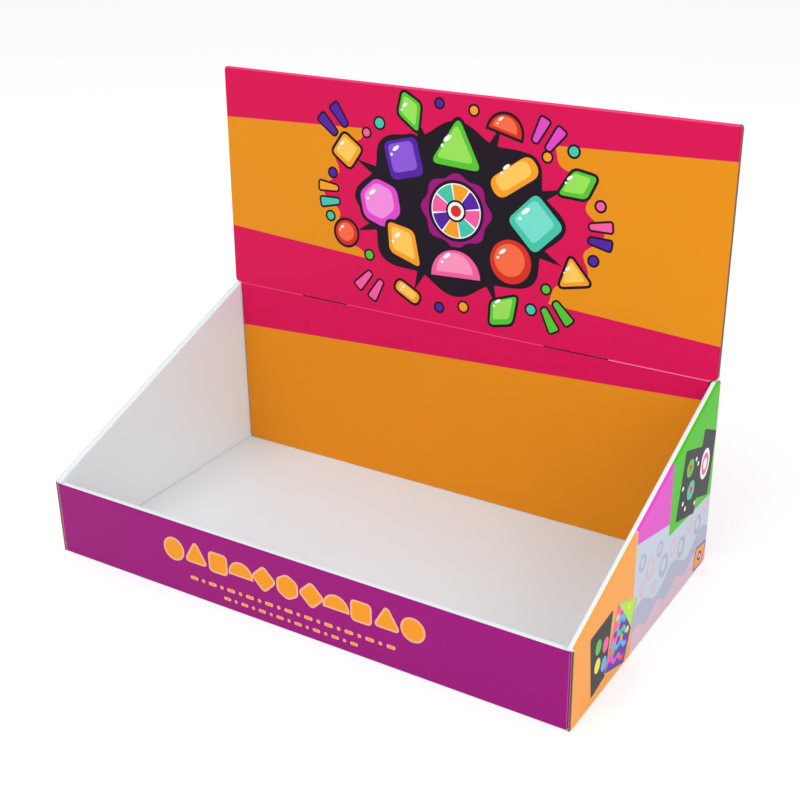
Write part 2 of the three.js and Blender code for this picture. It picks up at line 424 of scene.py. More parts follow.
FRONT = Panel((0, TRAY_LOW[1], 0), (1, 0, 0), (0, 0, 1))
BACK = Panel((0, TRAY_HIGH[1], 0), (-1, 0, 0), (0, 0, 1))
RIGHT = Panel((TRAY_HIGH[0], TRAY_LOW[1], 0), (0, 1, 0), (0, 0, 1))
LINER = Panel((0, LINER_FACE, 0), (1, 0, 0), (0, 0, 1))
HEADER = Panel((0, HINGE[1], HINGE[2]), (1, 0, 0), (0, math.sin(HEADER_LEAN), math.cos(HEADER_LEAN)))


def layer(level):
    """Heights of a layer's foot and top over the board: the film for 0, then ink that many steps above it."""
    if level == 0:
        return INSET, FILM
    return FILM + (level - 1) * INK_STEP - INSET / 2, FILM + level * INK_STEP


class Piece:
    """Collects closed shapes with their inks and joins them into one mesh object."""

    def __init__(self, name, body, slot):
        self.name, self.body, self.slot = name, body, slot
        self.points, self.faces, self.face_inks, self.inks = [], [], [], []
        self.count = 0

    def add(self, points, blocks, ink):
        """A closed shape from its points and blocks of faces, each block with its own number of corners."""
        if ink not in self.inks:
            self.inks.append(ink)
        for block in blocks:
            self.faces += (np.asarray(block) + self.count).tolist()
            self.face_inks += [self.inks.index(ink)] * len(block)
        self.points.append(points.reshape(-1, 3))
        self.count += len(self.points[-1])

    def plate(self, panel, outline, ink, level):
        """A flat shape on a panel: its outline carried from its layer's foot to the layer's top."""
        foot, top = layer(level)
        here = np.arange(len(outline))
        ahead = np.roll(here, -1)
        above = len(outline)
        ring = np.stack([here, ahead, ahead + above, here + above], axis=1)
        points = np.concatenate([panel.points(outline, foot), panel.points(outline, top)])
        self.add(points, [[here[::-1]], [here + above], ring], ink)

    def sheet(self, inner, outer, ink):
        """A closed thin sheet between two surfaces worked out on the same grid of rows and columns."""
        rows, columns = inner.shape[:2]
        above = rows * columns
        grid = np.arange(above).reshape(rows, columns)
        near = np.stack([grid[:-1, :-1], grid[:-1, 1:], grid[1:, 1:], grid[1:, :-1]], axis=-1).reshape(-1, 4)
        rim = np.concatenate([grid[0, :], grid[1:, -1], grid[-1, -2::-1], grid[-2:0:-1, 0]])
        ahead = np.roll(rim, -1)
        sides = np.stack([ahead, rim, rim + above, ahead + above], axis=-1)
        points = np.concatenate([inner.reshape(-1, 3), outer.reshape(-1, 3)])
        self.add(points, [near, near[:, ::-1] + above, sides], ink)

    def build(self):
        """One mesh object from all shapes, with every face turned outwards, on its body."""
        mesh = bpy.data.meshes.new(self.name)
        mesh.from_pydata((np.concatenate(self.points) * MM).tolist(), [], self.faces)
        for ink in self.inks:
            mesh.materials.append(MATERIALS[ink])
        mesh.polygons.foreach_set("material_index", self.face_inks)
        shape = bmesh.new()
        shape.from_mesh(mesh)
        bmesh.ops.recalc_face_normals(shape, faces=shape.faces)
        shape.to_mesh(mesh)
        shape.free()
        mesh.validate()
        piece = bpy.data.objects.new(self.name, mesh)
        bpy.context.scene.collection.objects.link(piece)
        if self.body:
            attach(piece, self.body)
        return piece


# Films round the folds of the tray


def fold_end(out):
    """The arc of a face into a fold: lengths past the fold's start, and depths behind the face."""
    arc = np.radians(np.linspace(0, FOLD_TURN, FOLD_STEPS))
    return (FOLD + out) * np.sin(arc), FOLD - (FOLD + out) * np.cos(arc)


def bent_edge(low, high, out, high_arc=True):
    """Positions along a face, from an arc into the fold at low to another at high, or to a plain end there,
    and the depth of each behind the face."""
    past, behind = fold_end(out)
    if high_arc:
        along = np.concatenate([low + FOLD - past[::-1], high - FOLD + past])
        return along, np.concatenate([behind[::-1], behind])
    return np.append(low + FOLD - past[::-1], high), np.append(behind[::-1], -out)


def front_surface(out):
    """The front panel's face with its four edges turned into the folds."""
    x, depth_x = bent_edge(-PANEL_HALF, PANEL_HALF, out)
    z, depth_z = bent_edge(0, FRONT_TOP, out)
    x, y, z = np.broadcast_arrays(x[None, :], TRAY_LOW[1] + np.maximum(depth_x, depth_z[:, None]), z[:, None])
    return np.stack([x, y, z], axis=-1)


def back_surface(out):
    """The back panel's face: folds at its ends and foot, a cut top that steps down at both corners."""
    x, depth_x = bent_edge(-PANEL_HALF, PANEL_HALF, out)
    inner = BACK_TOP_HALF - INSET
    x = np.concatenate([x[:FOLD_STEPS], [-inner - INSET, -inner, inner, inner + INSET], x[FOLD_STEPS:]])
    depth_x = np.concatenate([depth_x[:FOLD_STEPS], np.full(4, -out), depth_x[FOLD_STEPS:]])
    top = np.where(np.abs(x) <= inner, SIDE_TOP - INSET, SIDE_TOP - BOARD - LAYER_PLAY - INSET)
    foot, depth_foot = bent_edge(0, 2 * FOLD, out, high_arc=False)
    z = np.concatenate([np.repeat(foot[:, None], len(x), axis=1), top[None, :]])
    depth = np.maximum(depth_x, np.append(depth_foot, -out)[:, None])
    return np.stack([np.broadcast_to(x, depth.shape), TRAY_HIGH[1] - depth, z], axis=-1)


def side_top(y):
    """Height of a side wall's top above the counter: the slope, then the short flat."""
    return np.minimum(SIDE_FRONT_TOP + (y - TRAY_LOW[1]) * math.tan(SLOPE), SIDE_TOP)


def side_surface(side, out, y, low):
    """A stretch of a side wall's face, from the heights low, or from the fold at the floor where low is None,
    up to the arc of its top fold, over it and a little way along the top."""
    turn, reach = SIDE_TURNS[side]
    arc = np.radians(np.linspace(0, turn, 8))
    stretch = 1 / math.cos(SLOPE)
    rise = np.append(np.sin(arc), np.sin(arc[-1]))
    behind = FOLD - (FOLD + out) * np.cos(arc)
    upper = side_top(y) - FOLD * stretch + (FOLD + out) * rise[:, None] * stretch
    upper_depth = np.append(behind, behind[-1] + reach)
    if low is None:
        past, behind_foot = fold_end(out)
        foot = np.repeat((FOLD - past[::-1])[:, None], len(y), axis=1)
        foot_depth = behind_foot[::-1]
    else:
        foot = low[None, :]
        foot_depth = np.array([-out])
    z = np.concatenate([foot, upper])
    x = side * (WIDTH / 2 - np.concatenate([foot_depth, upper_depth]))
    return np.stack([np.broadcast_to(x[:, None], z.shape), np.broadcast_to(y, z.shape), z], axis=-1)


def side_field(piece, side, start, end, low, ink, level):
    """A field of colour on a side wall between two distances from the front, up to and over its fold. Its
    grid has one more column where the slope meets the flat."""
    y = TRAY_LOW[1] + np.array([start, end], float)
    if y[0] < LINER_FACE < y[1]:
        y = np.insert(y, 1, LINER_FACE)
    heights = None if low is None else np.interp(y, y[[0, -1]], low)
    foot, top = layer(level)
    piece.sheet(side_surface(side, foot, y, heights), side_surface(side, top, y, heights), ink)


# Header film: one sheet up the front, over the top fold and down the back


def header_half(up):
    """Half the header's width at a height above the crease: full, less the round of its corners, which is the
    corner's radius less the leg of a right triangle."""
    over = np.clip(up - (HEADER_TALL - HEADER_CORNER), 0, HEADER_CORNER)
    under = np.clip(HEADER_CORNER + SHOULDER_GAP - up, 0, HEADER_CORNER)
    trim = HEADER_CORNER - np.sqrt(HEADER_CORNER ** 2 - np.maximum(over, under) ** 2)
    return HEADER_HALF - INSET - trim


def header_surface(out, fold_only=False):
    """The header's skin: straight up the face, a quarter arc to the top, another to the back, and down it.
    Or only the front arc of its fold."""
    arc = np.radians(np.linspace(0, 90, 8))
    round_off = np.linspace(0, HEADER_CORNER, 6)
    climb = np.concatenate([SHOULDER_GAP + round_off, HEADER_TALL - BOARD - round_off[::-1]])
    climb_depth = np.full(len(climb), -out)
    over = HEADER_TALL - BOARD + (BOARD + out) * np.sin(arc)
    over_depth = BOARD - (BOARD + out) * np.cos(arc)
    up = np.concatenate([climb, over[1:], over[::-1], climb[::-1][1:]])
    depth = np.concatenate([climb_depth, over_depth[1:], HEADER_THICK - over_depth[::-1],
                            HEADER_THICK - climb_depth[1:]])
    if fold_only:
        fold = slice(len(climb), len(climb) + len(over))
        up, depth = up[fold], depth[fold]
    x = np.linspace(-1, 1, 9) * header_half(np.minimum(up, HEADER_TALL))[:, None]
    flat = np.stack([x, np.broadcast_to(up[:, None], x.shape)], axis=-1)
    return HEADER.points(flat, 0.0) - depth[:, None, None] * HEADER.normal


# Motifs: simple shapes about 1 in radius, with a dark border, a lighter middle and a small shine

SHAPES = {
    "disc": disc(1.0),
    "half": placed(sector(1.15, 0, 180), 0, -0.45),
    "square": eased(rectangle(1.75, 1.75), 0.34),
    "triangle": eased(regular(3, 1.28), 0.36),
    "diamond": turned(eased(rectangle(1.62, 1.62), 0.3), 45),
    "hexagon": eased(regular(6, 1.1), 0.3),
    "capsule": eased(rectangle(2.5, 1.05), 0.52, 9),
    "kite": eased([[0, 1.35], [-0.85, 0.25], [0, -1.2], [0.85, 0.25]], 0.3),
    "wedge": eased([[-0.22, -1], [0.22, -1], [0.42, 1], [-0.42, 1]], 0.2),
}


def motif(piece, shape, x, y, size, turn, ink, border, level):
    """One shape on the header: its dark border, then its face."""
    outline = placed(SHAPES[shape], x, y, turn, size)
    piece.plate(HEADER, grown(outline, border), "navy", level)
    piece.plate(HEADER, outline, ink, level + 1)


def raised_middle(piece, shape, x, y, size, turn, ink, level):
    """A lighter middle set a little up and left on a shape, with a long and a round touch of shine."""
    middle = placed(SHAPES[shape], x - size * 0.05, y + size * 0.07, turn, size * 0.74)
    glint = placed(disc(1.0, 0.42, 20), x - size * 0.4, y + size * 0.42, 38, size * 0.2)
    spark = placed(disc(1.0, 1.0, 14), x - size * 0.62, y + size * 0.12, 0, size * 0.065)
    piece.plate(HEADER, middle, ink + "_light", level)
    piece.plate(HEADER, glint, "white", level + 1)
    piece.plate(HEADER, spark, "white", level + 1)


# The wheel: its slices, and the rings of its hub as shares of its radius
WHEEL_INKS = ("violet", "amber", "mint", "rose") * 2
WHEEL_HUB = ((0.42, "navy"), (0.34, "white"), (0.22, "red"))


def pinwheel(piece, x, y, radius, level):
    """A disc of eight slices in turn, with two rings round it and a hub of rings at its middle."""
    piece.plate(HEADER, placed(disc(radius + 3.2, steps=72), x, y), "navy", level)
    piece.plate(HEADER, placed(disc(radius + 0.8, steps=72), x, y), "white", level + 1)
    for index, ink in enumerate(WHEEL_INKS):
        piece.plate(HEADER, placed(sector(radius, 45 * index + 2, 45 * index + 43), x, y, 11), ink, level + 2)
    for step, (share, ink) in enumerate(WHEEL_HUB):
        piece.plate(HEADER, placed(disc(radius * share), x, y), ink, level + 3 + step)


# Header: x and height above the crease, size, turn and ink. A ring of eight large shapes, eight round it,
# and small pieces round them all
HEADER_RING = (
    ("diamond", 63, 87, 19, 0, "mint"), ("capsule", 46, 117, 15.5, 35, "amber"),
    ("triangle", 1, 130, 18.5, -3, "leaf"), ("square", -42, 119, 16, 15, "violet"),
    ("hexagon", -62, 84, 17, 12, "magenta"), ("kite", -41, 55, 16.5, 42, "amber"),
    ("half", 1, 46, 17.5, 3, "rose"), ("disc", 45, 57, 16, 0, "red"),
)
HEADER_OUTER = (
    ("kite", 92, 117, 12.5, -62, "leaf"), ("half", 39, 151, 11, -14, "red"),
    ("kite", -36, 152, 12, 24, "leaf"), ("diamond", -90, 119, 11.5, 10, "amber"),
    ("disc", -92, 57, 9.5, 0, "red"), ("capsule", -39, 20, 8.5, -28, "amber"),
    ("kite", 41, 21, 13, 140, "leaf"), ("triangle", 93, 55, 11, 12, "amber"),
)
HEADER_CONFETTI = (
    ("disc", -62, 142, 3.6, 0, "mint"), ("disc", -103, 101, 3.0, 0, "violet"),
    ("disc", 14, 159, 3.0, 0, "amber"), ("disc", -13, 161, 2.8, 0, "violet"),
    ("disc", 89, 140, 3.4, 0, "mint"), ("disc", 110, 106, 3.0, 0, "rose"),
    ("disc", 107, 68, 3.0, 0, "violet"), ("disc", 62, 25, 3.4, 0, "mint"),
    ("disc", 8, 17, 3.4, 0, "amber"), ("disc", -12, 13, 3.0, 0, "violet"),
    ("disc", -72, 43, 3.2, 0, "leaf"), ("disc", -106, 68, 3.0, 0, "mint"),
    ("disc", 70, 134, 3.0, 0, "amber"), ("disc", 73, 42, 3.0, 0, "leaf"),
    ("disc", -73, 134, 2.8, 0, "rose"),
    ("wedge", -106, 136, 8.8, 48, "violet"), ("wedge", -96, 144, 8.8, 38, "violet"),
    ("wedge", 64, 151, 8.8, -26, "magenta"), ("wedge", 75, 146, 8.8, -36, "magenta"),
    ("wedge", 111, 92, 8.0, -84, "rose"), ("wedge", 111, 81, 8.0, -97, "violet"),
    ("wedge", 76, 20, 9.0, -150, "leaf"), ("wedge", 86, 27, 9.0, -138, "leaf"),
    ("wedge", -66, 17, 8.6, 150, "rose"), ("wedge", -77, 23, 8.6, 138, "rose"),
    ("wedge", -107, 90, 8.0, 88, "amber"), ("wedge", -106, 79, 8.0, 98, "mint"),
)
HEADER_MIDDLE = (1.0, 87.0)

# The grounds behind the shapes, each as wide, as tall, with so many lobes and so deep, and how far out the
# rays stand
PINK_GROUND = (214, 142, 14, 0.055)
DARK_GROUND = (158, 118, 8, 0.075)
WHEEL_GROUND = (54, 51, 8, 0.06)
RAY_REACH = (68, 48)


def header_motif(piece):
    """A pink lobed ground, a dark one with eight rays on it, a wheel at the middle and the shapes round it.
    Neighbours in the ring lie on levels of their own, because their borders overlap."""
    x, y = HEADER_MIDDLE
    piece.plate(HEADER, placed(lobed(*PINK_GROUND), x, y), "pink", 2)
    ray = eased([[-4.5, 0], [4.5, 0], [0, 22]], 0.6, 3)
    for angle in range(0, 360, 45):
        t = math.radians(angle + 22.5)
        ray_x, ray_y = x + RAY_REACH[0] * math.cos(t), y + RAY_REACH[1] * math.sin(t)
        piece.plate(HEADER, placed(ray, ray_x, ray_y, angle - 67.5), "navy", 3)
    piece.plate(HEADER, placed(lobed(*DARK_GROUND), x, y), "navy", 4)
    piece.plate(HEADER, placed(lobed(*WHEEL_GROUND), x, y), "purple", 5)
    for index, shape in enumerate(HEADER_RING):
        level = 6 + 4 * (index % 2)
        motif(piece, *shape, border=2.6, level=level)
        raised_middle(piece, *shape, level=level + 2)
    pinwheel(piece, x, y, 19, 6)
    for shape in HEADER_OUTER:
        motif(piece, *shape, border=2.0, level=5)
        raised_middle(piece, *shape, level=7)
    for shape in HEADER_CONFETTI:
        motif(piece, *shape, border=1.5, level=5)


# Front: a row of shapes with a pale border, and two rows of bars below, each with its height, the size of
# a bar, the step from one to the next and their number

FRONT_ROW = ("disc", "triangle", "square", "half", "diamond", "hexagon", "diamond", "half", "square",
             "triangle", "disc")
FRONT_PITCH = 18.8
FRONT_ROW_UP = 33.5
FRONT_SHAPE = 7.6
FRONT_BORDER = 1.3
FRONT_BARS = ((15.5, 2.7, 7.8, 21), (8.0, 2.4, 7.2, 15))


def front_motif(piece):
    """The row of shapes, centred on the front, then both rows of bars, in which every other bar is long."""
    for index, shape in enumerate(FRONT_ROW):
        x = (index - len(FRONT_ROW) // 2) * FRONT_PITCH
        outline = placed(SHAPES[shape], x, FRONT_ROW_UP, 0, FRONT_SHAPE)
        piece.plate(FRONT, grown(outline, FRONT_BORDER), "peach", 1)
        piece.plate(FRONT, outline, "amber", 2)
    for height, size, pitch, count in FRONT_BARS:
        for index in range(count):
            x = (index - (count - 1) / 2) * pitch
            bar = eased(rectangle(size * (1.0 if index % 2 else 2.4), size), size / 2.2, 5)
            piece.plate(FRONT, placed(bar, x, height), "peach", 1)
            piece.plate(FRONT, placed(bar * 0.62, x, height), "amber", 2)


# Right wall: distances from the front and heights. A pale field with hills and rounds, and leaning tiles

PALE_ROUNDS = (
    (98, 62, 5.5, "side_mist_deep"), (112, 50, 7, "side_mist_rose"), (127, 57, 5, "side_mist_deep"),
    (136, 40, 7.5, "side_mist_deep"), (101, 41, 4.5, "side_mist_rose"), (152, 45, 5.5, "side_mist_rose"),
    (167, 38, 7, "side_mist_deep"), (182, 46, 4.5, "side_mist_rose"), (197, 40, 6.5, "side_mist_deep"),
    (211, 47, 4.5, "side_mist_rose"), (121, 32, 4, "side_mist_rose"),
)
FRONT_TILE = ((23, 50), (27.7, 6.8), (47.1, 10.6), (53.7, 52.3))
FRONT_TILE_DOTS = ((34.8, 38, "leaf"), (45.6, 33.5, "rose"), (34.6, 25, "sun"), (44.2, 20.5, "sky"))
WAVE_TILE = ((62, 53.2), (46.1, 11.6), (76.3, 1.6), (92, 40.4))
WAVE_TILE_ROSE = ((62.2, 52.4), (70.5, 47.4), (63.5, 26), (47.6, 13.4), (47.2, 12.8))
WAVE_TILE_LIME = ((62.6, 52.6), (91.2, 40.6), (84.5, 23.5), (76, 35.5))
WAVES = ((68, 39, 15, "sky"), (69.5, 29.5, 22, "mint"), (66, 21.5, 25, "sky"), (63, 13.2, 23, "magenta"))
WAVE_DOTS = ((80, 41, "sun"), (58, 20, "leaf"), (79, 25, "sun"), (62, 43, "sun"), (73, 8, "red"),
             (70, 24.8, "amber"), (60, 32, "violet"))
RING_TILE = ((195.8, 111.7), (184.6, 66.6), (210.8, 57.1), (218.2, 101.4))
RINGS = ((8.6, "white"), (6.2, "rose"), (3.4, "white"))
HEXAGON_TILE = ((162.8, 109.9), (153.1, 63.9), (185.9, 54.8), (195.1, 99.4))
HEXAGONS = ((172.5, 94, 6.4, "leaf"), (176.5, 76, 6.8, "mint"))
HEXAGON_DOTS = ((163, 72), (168, 66), (187, 91), (183, 96), (161, 84), (186, 62))
SMALL_TILE = ((199, 19), (196, 4), (212.5, 2.5), (217, 16.5))


def hills(foot, height, swing, waves):
    """A field with a flat foot whose top is a sine wave, from the side's orange to its back end."""
    t = np.linspace(0, 1, 40)
    start, end = SIDE_ORANGE_END + PALE_LINE / 2, DEPTH - LAYER_PLAY - 2 * INSET
    rise = foot + height + swing * np.sin(2 * math.pi * waves * t)
    top = np.stack([start + (end - start) * t, rise], axis=1)
    return np.concatenate([[[start, foot], [end, foot]], top[::-1]])


def pale_field(piece):
    """The pale field: two rows of low hills, and rounds that float over them."""
    piece.plate(RIGHT, hills(1.5, 27, 5.5, 2.5), "side_mist_deep", 2)
    piece.plate(RIGHT, hills(1.5, 13, 3.5, 4), "side_mist_rose", 3)
    for x, y, size, ink in PALE_ROUNDS:
        piece.plate(RIGHT, placed(disc(size, 1.15, 36), x, y), ink, 4)
        middle = placed(disc(size * 0.55, 1.15, 30), x - size * 0.12, y + size * 0.15)
        piece.plate(RIGHT, middle, "side_mist", 5)


def tile(piece, corners, ink, level, edge="navy", border=0.7):
    """A leaning four-sided tile with a fine border."""
    shape = eased(corners, 1.2, 4)
    piece.plate(RIGHT, grown(shape, border), edge, level)
    piece.plate(RIGHT, shape, ink, level + 1)


def front_tiles(piece):
    """A dark tile with four rounds, and over it one of three inks with waves and dots."""
    tile(piece, FRONT_TILE, "tile_dark", 2)
    for x, y, ink in FRONT_TILE_DOTS:
        piece.plate(RIGHT, placed(disc(4.1, 1.25), x, y, -8), ink, 4)
    tile(piece, WAVE_TILE, "violet", 5, edge="sun", border=0.4)
    piece.plate(RIGHT, WAVE_TILE_ROSE, "rose", 7)
    piece.plate(RIGHT, WAVE_TILE_LIME, "lime", 8)
    for x, y, width, ink in WAVES:
        piece.plate(RIGHT, placed(squiggle(width, 1.5, 2, 3.4), x, y, -20), ink, 9)
    for x, y, ink in WAVE_DOTS:
        piece.plate(RIGHT, placed(disc(2.3, steps=18), x, y), ink, 10)


def back_tiles(piece):
    """A dark tile with rings, over it one with two hexagons and dots, and a small one at the foot."""
    tile(piece, RING_TILE, "tile_dark", 2)
    for step, (radius, ink) in enumerate(RINGS):
        piece.plate(RIGHT, placed(disc(radius, 1.3), 201, 84.5), ink, 4 + step)
    tile(piece, HEXAGON_TILE, "tile_dark", 5)
    for x, y, size, ink in HEXAGONS:
        piece.plate(RIGHT, placed(SHAPES["hexagon"], x, y, 10, size), ink, 7)
        piece.plate(RIGHT, placed(SHAPES["triangle"], x, y, 20, size * 0.5), "red", 8)
    for x, y in HEXAGON_DOTS:
        piece.plate(RIGHT, placed(disc(1.6, steps=16), x, y), "white", 7)
    tile(piece, SMALL_TILE, "amber", 6, edge="violet", border=1.2)
    piece.plate(RIGHT, placed(SHAPES["diamond"], 206.5, 10.5, 8, 4.2), "violet", 8)
    piece.plate(RIGHT, placed(SHAPES["diamond"], 206.5, 10.5, 8, 1.9), "sun", 9)


# Printed faces


def tray_print():
    """The purple films of the front and the back, and a painted highlight beside each side fold of the front.
    """
    front = Piece("front_print", "tray_body", "tray_print")
    front.sheet(front_surface(INSET), front_surface(FILM), "purple")
    for side in (-1, 1):
        # Painted highlight: a narrow lighter purple strip just inside each side fold
        x = side * (PANEL_HALF - FOLD + FOLD_HIGHLIGHT_SHIFT)
        fold_highlight = placed(rectangle(FOLD_HIGHLIGHT_WIDTH, FRONT_TOP - 2 * FOLD), x, FRONT_TOP / 2)
        front.plate(FRONT, fold_highlight, "fold_purple_highlight", 1)
    front_motif(front)
    front.build()
    back = Piece("back_print", "tray_body", "tray_print")
    back.sheet(back_surface(INSET), back_surface(FILM), "purple")
    back.build()


def side_print(side, name):
    """The fields of colour on a side wall: pale below, orange in front, magenta and green under the slope."""
    piece = Piece(name, "tray_body", "side_print")
    start = LAYER_PLAY + INSET
    end = DEPTH - LAYER_PLAY - INSET
    side_field(piece, side, start, end, None, "side_mist", 0)
    side_field(piece, side, start, SIDE_ORANGE_END, None, "side_orange", 1)
    side_field(piece, side, SIDE_ORANGE_END + PALE_LINE, SIDE_MAGENTA_END, MAGENTA_FOOT, "side_magenta", 1)
    side_field(piece, side, SIDE_MAGENTA_END, end, GREEN_FOOT, "side_green", 1)
    return piece


def slanted(reach, foot, top):
    """A field as wide as reach to either side, between two edges that each slant from left to right."""
    return [[-reach, foot[0]], [reach, foot[1]], [reach, top[1]], [-reach, top[0]]]


def header_print():
    """The header's pink skin with a painted highlight on its top fold, the stretch between the shoulders down
    to the crease with the slits left open, the orange band, and the shapes on it."""
    piece = Piece("header_print", "header_flap", "header_print")
    piece.sheet(header_surface(INSET), header_surface(FILM), "pink")
    # Painted highlight: a lighter pink sheet over the front arc of the top fold
    piece.sheet(header_surface(FILM / 2, True), header_surface(FILM + INSET, True), "fold_pink_highlight")
    foot = [[LINER_HALF, SHOULDER_GAP], [-LINER_HALF, SHOULDER_GAP], [-LINER_HALF, 0]]
    for start, end in SLITS:
        foot += [[start, 0], [start, SLIT_HEIGHT], [end, SLIT_HEIGHT], [end, 0]]
    piece.plate(HEADER, np.array(foot + [[LINER_HALF, 0]])[::-1], "pink", 0)
    piece.plate(HEADER, slanted(HEADER_HALF - INSET, HEADER_BAND_FOOT, HEADER_BAND_TOP), "orange", 1)
    piece.build()
    shapes = Piece("header_motif", "header_flap", "motif_print")
    header_motif(shapes)
    shapes.build()


def liner_print():
    """The liner's orange film with its foot corners cut off, the pink one over it up to the crease with the
    slits left open, and a painted shadow: a dark sliver where the liner stands off the right wall."""
    piece = Piece("liner_print", "tray_body", "liner_print")
    reach = LINER_HALF - INSET
    foot = BOARD + LAYER_PLAY + INSET
    band = [[-reach, LINER_BAND_TOP[0]], [reach, LINER_BAND_TOP[1]]]
    corners = [[-reach, foot + LINER_CUT], [-reach + LINER_CUT, foot], [reach - LINER_CUT, foot],
               [reach, foot + LINER_CUT]]
    piece.plate(LINER, corners + band[::-1], "liner_orange", 0)
    rim = [[reach, LINER_TOP]]
    for start, end in SLITS[::-1]:
        rim += [[end, LINER_TOP], [end, LINER_TOP - SLIT_HEIGHT], [start, LINER_TOP - SLIT_HEIGHT],
                [start, LINER_TOP]]
    piece.plate(LINER, band + rim + [[-reach, LINER_TOP]], "liner_pink", 0)
    # Painted shadow: a dark sliver in the gap between the liner's right end and the wall
    top = LINER_TOP - SHADOW_SLIVER_PLAY
    low = LINER_TOP - SHADOW_SLIVER_TALL
    shadow_sliver = [[reach - SHADOW_SLIVER_WIDTH, top], [reach - INSET, low], [LINER_HALF, low], [LINER_HALF, top]]
    piece.plate(LINER, shadow_sliver, "painted_gap_shade", 1)
    piece.build()


def crease_surface(start, end, out, reach):
    """Across the crease: the face swells by a bell curve into a low ridge along the score."""
    up = np.linspace(-reach, reach, 25)
    lift = out + CREASE_RIDGE * np.exp(-(up / CREASE_SWELL) ** 2)
    flat = np.stack(np.broadcast_arrays(np.linspace(start, end, 12), up[:, None]), axis=-1)
    below = LINER.points(flat + np.array([0, HINGE[2]]), 0.0)
    base = np.where(flat[..., 1:2] < 0, below, HEADER.points(flat, 0.0))
    return base + lift[:, None, None] * (LINER.normal + HEADER.normal) / 2


def crease():
    """The printed face over the score, in three stretches between and beside the slits, each with a narrow
    painted highlight line on its ridge, brighter on the right stretch. It bends across the hinge."""
    piece = Piece("crease_print", None, "header_print")
    ends = [CREASE_END - LINER_HALF, *(x for slit in SLITS for x in slit), LINER_HALF - CREASE_END]
    for start, end in zip(ends[::2], ends[1::2]):
        piece.sheet(crease_surface(start, end, -INSET, CREASE_REACH),
                    crease_surface(start, end, CREASE_FILM, CREASE_REACH), "pink")
        # Painted highlight along the ridge: a lighter pink line, brighter on the stretch right of the slits
        piece.sheet(crease_surface(start, end, FILM, SCORE_REACH),
                    crease_surface(start, end, SCORE_FILM, SCORE_REACH),
                    "crease_highlight_bright" if start > 0 else "crease")
    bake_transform(piece.build())


# Cut edges: two facing papers with the flutes between them


def cut_edge(piece, panel, length, fluted=True):
    """The raw edge of one layer of board along a panel's height: painted shade for the hollow, two papers and
    the flutes.
    """
    # Painted shade: a dark plate for the hollow between the two papers
    piece.plate(panel, span(0, 0, BOARD, length), "painted_edge_shade", 0)
    for start in (0, BOARD - PAPER):
        piece.plate(panel, span(start, 0, start + PAPER, length), "cut_edge_paper", 1)
    if fluted:
        waves = length / FLUTE_PITCH
        flutes = squiggle(length - 2 * INSET, BOARD / 2 - PAPER * 1.3, waves, FLUTE_PAPER,
                          steps=int(waves * FLUTE_STEPS))
        piece.plate(panel, placed(flutes, BOARD / 2, length / 2, turn=90), "cut_edge_paper", 1)


def header_end(side, depths, out):
    """The header's end face: up its side and round both corners, as wide as the given span of depths."""
    arc = np.radians(np.linspace(0, EDGE_TURN, 7))
    radius = HEADER_CORNER + out
    across = HEADER_HALF - HEADER_CORNER + radius * np.cos(np.concatenate([arc[::-1], arc]))
    up = np.concatenate([SHOULDER_GAP + HEADER_CORNER - radius * np.sin(arc[::-1]),
                         HEADER_TALL - HEADER_CORNER + radius * np.sin(arc)])
    flat = np.stack([side * across, up], axis=-1)[:, None, :].repeat(2, axis=1)
    return HEADER.points(flat, 0.0) - np.array(depths)[None, :, None] * HEADER.normal


def header_edges():
    """The raw ends of the header's two layers, up both sides and under both shoulders, with painted shade in
    their hollows, and painted shade in the slits.
    """
    piece = Piece("header_cut_edges", "header_flap", "cut_edge")
    layers = (0, HEADER_THICK - BOARD)
    # The first row is painted shade for the hollow between the papers
    rows = ((0, BOARD, "painted_edge_shade", EDGE_FILM), (0, PAPER, "cut_edge_paper", EDGE_FILM + INSET),
            (BOARD - PAPER, BOARD, "cut_edge_paper", EDGE_FILM + INSET))
    for side in (-1, 1):
        for start in layers:
            for low, high, ink, out in rows:
                depths = (start + low, start + high)
                piece.sheet(header_end(side, depths, -INSET), header_end(side, depths, out), ink)
    shoulder = HEADER_HALF - HEADER_CORNER
    for side in (-1, 1):
        for start in layers:
            near = HEADER.points([side * shoulder, SHOULDER_GAP], -start)
            origin = near if side > 0 else near - HEADER.normal * BOARD
            cut_edge(piece, Panel(origin, -side * HEADER.normal, (-side, 0, 0)), shoulder - LINER_HALF)
    # Painted shade: a dark plate on the ceiling of each slit
    for start, end in SLITS:
        ceiling = Panel(HEADER.points([start, SLIT_HEIGHT], -BOARD), (1, 0, 0), HEADER.normal)
        piece.plate(ceiling, span(0, 0, end - start, BOARD), "painted_gap_shade", 0)
    piece.build()


